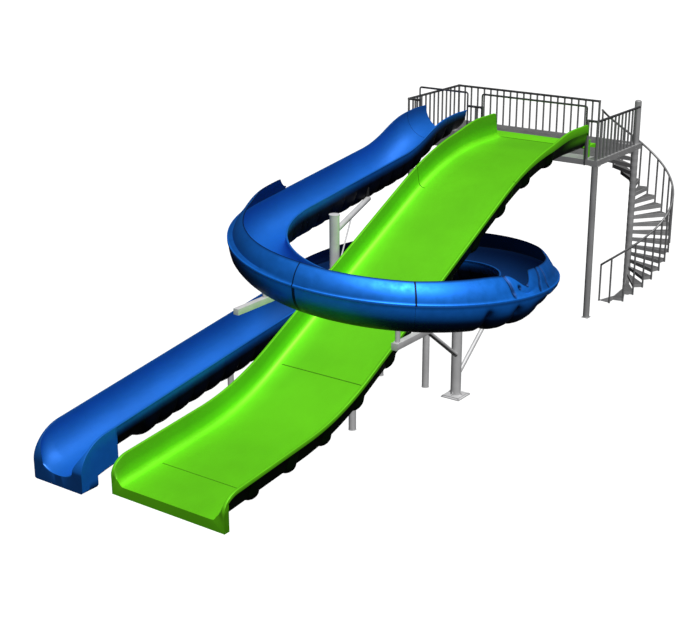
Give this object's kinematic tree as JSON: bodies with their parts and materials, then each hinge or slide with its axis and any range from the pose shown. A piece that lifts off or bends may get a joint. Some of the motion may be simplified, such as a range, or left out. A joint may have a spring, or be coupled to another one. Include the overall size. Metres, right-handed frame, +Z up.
{
  "type": "water slide tower",
  "caption": "Water slide tower with a railed platform, a spiral stair, a wide open slide and a looping half-pipe slide.",
  "frame": {"origin": "on the ground, below the middle of the whole object's outline", "axes": "+Z up, +Y from the slides' outlets towards the platform, +X to the right along the platform's front edge"},
  "size_m": [8.455, 19.8973, 5.97],
  "materials": {
    "green_gelcoat": "polished gelcoat",
    "blue_gelcoat": "polished gelcoat",
    "dark_steel": "dark grey paint",
    "grey_steel": "light grey paint"
  },
  "bodies": {
    "root": {"blue_entry": "blue_gelcoat", "blue_entry_top": "blue_gelcoat", "blue_exit": "blue_gelcoat", "blue_loop_1": "blue_gelcoat", "blue_loop_2": "blue_gelcoat", "blue_loop_3": "blue_gelcoat", "blue_loop_4": "blue_gelcoat", "blue_outlet": "blue_gelcoat", "blue_runout": "blue_gelcoat", "deck": "dark_steel", "deck_post_front_left": "dark_steel", "deck_post_front_right": "dark_steel", "deck_post_rear_left": "dark_steel", "entry_saddle": "dark_steel", "green_lower": "green_gelcoat", "green_middle": "green_gelcoat", "green_outlet": "green_gelcoat", "green_sill": "green_gelcoat", "green_upper": "green_gelcoat", "header_blue": "dark_steel", "header_green": "dark_steel", "loop_arm_front": "grey_steel", "loop_brace": "grey_steel", "loop_column": "grey_steel", "main_arm_front": "grey_steel", "main_arm_rear": "grey_steel", "main_column": "grey_steel", "rail_front_left": "dark_steel", "rail_front_middle": "dark_steel", "rail_front_right": "dark_steel", "rail_left": "dark_steel", "rail_rear": "dark_steel", "rail_right": "dark_steel", "runout_post": "grey_steel", "slide_trestle_high": "grey_steel", "slide_trestle_low": "grey_steel", "splash_wall_inner": "blue_gelcoat", "splash_wall_outer": "blue_gelcoat", "stair_column": "dark_steel", "stair_rail": "dark_steel", "tread_01": "dark_steel", "tread_02": "dark_steel", "tread_03": "dark_steel", "tread_04": "dark_steel", "tread_05": "dark_steel", "tread_06": "dark_steel", "tread_07": "dark_steel", "tread_08": "dark_steel", "tread_09": "dark_steel", "tread_10": "dark_steel", "tread_11": "dark_steel", "tread_12": "dark_steel", "tread_13": "dark_steel", "tread_14": "dark_steel", "tread_15": "dark_steel", "tread_16": "dark_steel", "tread_17": "dark_steel", "tread_18": "dark_steel", "tread_19": "dark_steel", "tread_20": "dark_steel"}
  },
  "joints": []
}
